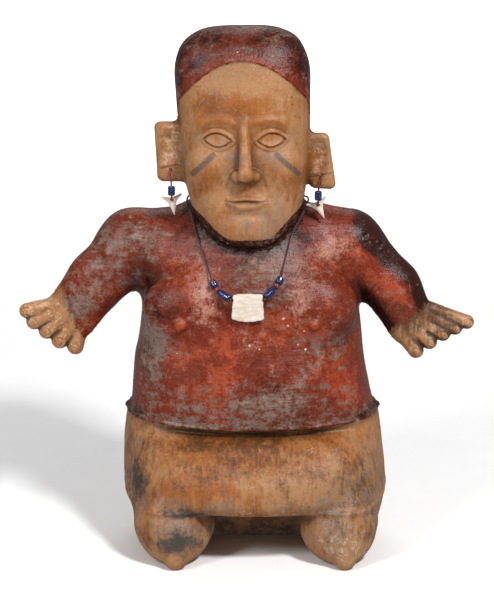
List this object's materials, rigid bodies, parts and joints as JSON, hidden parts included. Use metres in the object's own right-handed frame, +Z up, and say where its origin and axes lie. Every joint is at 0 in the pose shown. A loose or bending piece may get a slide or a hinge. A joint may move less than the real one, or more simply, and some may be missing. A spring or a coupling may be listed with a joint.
{
  "type": "seated ceramic figure",
  "caption": "Seated female figure of painted, burnished earthenware with spread arms, wearing a bead and shell necklace and tooth pendants on threads in both ears.",
  "frame": {"origin": "on the flat underside of the seat, midway between the legs, where the figure rests", "axes": "+X to the viewer's right, -Y the way the face looks, +Z up"},
  "size_m": [0.3536, 0.181, 0.3999],
  "materials": {
    "painted_clay": "burnished slip, fire-clouded",
    "blue_glass": "polished",
    "red_glass": "dull",
    "shell": "satin, worn",
    "dark_string": "waxed",
    "red_thread": "waxed"
  },
  "bodies": {
    "root": {"figure": "painted_clay", "necklace_string": "dark_string", "necklace_knot": "dark_string", "shell_plaque": "shell", "left_long_bead": "blue_glass", "left_spacer_bead": "red_glass", "left_end_bead": "blue_glass", "right_long_bead": "blue_glass", "right_spacer_bead": "red_glass", "right_end_bead": "blue_glass", "left_ear_thread": "red_thread", "left_lobe_knot": "red_thread", "left_ear_bead": "blue_glass", "left_ear_tooth": "shell", "left_tooth_knot": "red_thread", "right_ear_thread": "red_thread", "right_lobe_knot": "red_thread", "right_ear_bead": "blue_glass", "right_ear_tooth": "shell", "right_tooth_knot": "red_thread"}
  },
  "joints": []
}
